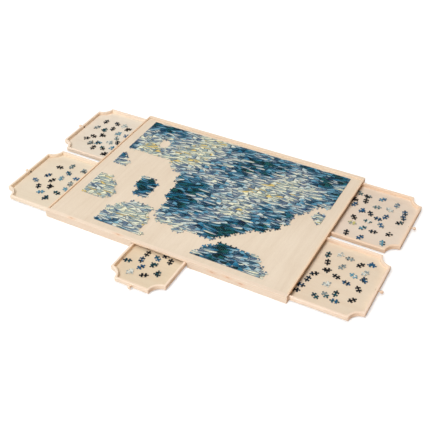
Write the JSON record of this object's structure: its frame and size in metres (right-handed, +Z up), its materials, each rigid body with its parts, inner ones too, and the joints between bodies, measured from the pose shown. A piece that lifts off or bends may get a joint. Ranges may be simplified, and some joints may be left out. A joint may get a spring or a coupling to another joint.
{
  "type": "jigsaw puzzle board with sorting drawers",
  "caption": "Thin wooden jigsaw board with a raised rim, pull-out sorting drawers with scooped corners and turned knobs at the sides and front, and a part-built puzzle.",
  "frame": {"origin": "middle of the case's underside, where it rests", "axes": "+X along the long side, +Y from the front rail to the back rail, +Z up out of the work surface"},
  "size_m": [1.3536, 0.8413, 0.029],
  "materials": {
    "pine": "planed and sanded pine, clear satin finish",
    "birch_ply": "fine sanded birch veneer, unvarnished",
    "turned_birch": "turned and sanded birch",
    "steel_screw": "dark bronzed steel",
    "printed_card": "printed grey board, satin"
  },
  "bodies": {
    "case": {"bottom_panel": "birch_ply", "work_board": "birch_ply", "front_rail": "pine", "back_rail": "pine", "left_lip": "pine", "right_lip": "pine", "left_divider": "pine", "right_divider": "pine", "left_partition": "pine", "right_partition": "pine", "front_guides": "pine", "front_bay_stop": "pine", "stop_laths": "pine", "puzzle": "printed_card"},
    "left_front_drawer": {"left_front_drawer_floor": "birch_ply", "left_front_drawer_front": "pine", "left_front_drawer_side_a": "pine", "left_front_drawer_side_b": "pine", "left_front_drawer_corners": "pine", "left_front_drawer_back": "pine", "left_front_drawer_knob": "turned_birch", "left_front_drawer_knob_screw": "steel_screw", "left_front_drawer_loose_pieces": "printed_card"},
    "left_back_drawer": {"left_back_drawer_floor": "birch_ply", "left_back_drawer_front": "pine", "left_back_drawer_side_a": "pine", "left_back_drawer_side_b": "pine", "left_back_drawer_corners": "pine", "left_back_drawer_back": "pine", "left_back_drawer_knob": "turned_birch", "left_back_drawer_knob_screw": "steel_screw", "left_back_drawer_loose_pieces": "printed_card"},
    "right_front_drawer": {"right_front_drawer_floor": "birch_ply", "right_front_drawer_front": "pine", "right_front_drawer_side_a": "pine", "right_front_drawer_side_b": "pine", "right_front_drawer_corners": "pine", "right_front_drawer_back": "pine", "right_front_drawer_knob": "turned_birch", "right_front_drawer_knob_screw": "steel_screw", "right_front_drawer_loose_pieces": "printed_card"},
    "right_back_drawer": {"right_back_drawer_floor": "birch_ply", "right_back_drawer_front": "pine", "right_back_drawer_side_a": "pine", "right_back_drawer_side_b": "pine", "right_back_drawer_corners": "pine", "right_back_drawer_back": "pine", "right_back_drawer_knob": "turned_birch", "right_back_drawer_knob_screw": "steel_screw", "right_back_drawer_loose_pieces": "printed_card"},
    "front_drawer": {"front_drawer_floor": "birch_ply", "front_drawer_front": "pine", "front_drawer_side_a": "pine", "front_drawer_side_b": "pine", "front_drawer_corners": "pine", "front_drawer_back": "pine", "front_drawer_knob": "turned_birch", "front_drawer_knob_screw": "steel_screw", "front_drawer_loose_pieces": "printed_card"}
  },
  "joints": [
    {"name": "left_front_drawer_slide", "type": "slide", "parent": "case", "child": "left_front_drawer", "axis": [-1, 0, 0], "range_m": [-0.206, 0.0335]},
    {"name": "left_back_drawer_slide", "type": "slide", "parent": "case", "child": "left_back_drawer", "axis": [-1, 0, 0], "range_m": [-0.208, 0.0315]},
    {"name": "right_front_drawer_slide", "type": "slide", "parent": "case", "child": "right_front_drawer", "axis": [1, 0, 0], "range_m": [-0.226, 0.0135]},
    {"name": "right_back_drawer_slide", "type": "slide", "parent": "case", "child": "right_back_drawer", "axis": [1, 0, 0], "range_m": [-0.222, 0.0175]},
    {"name": "front_drawer_slide", "type": "slide", "parent": "case", "child": "front_drawer", "axis": [0, -1, 0], "range_m": [-0.159, 0.0195]}
  ]
}
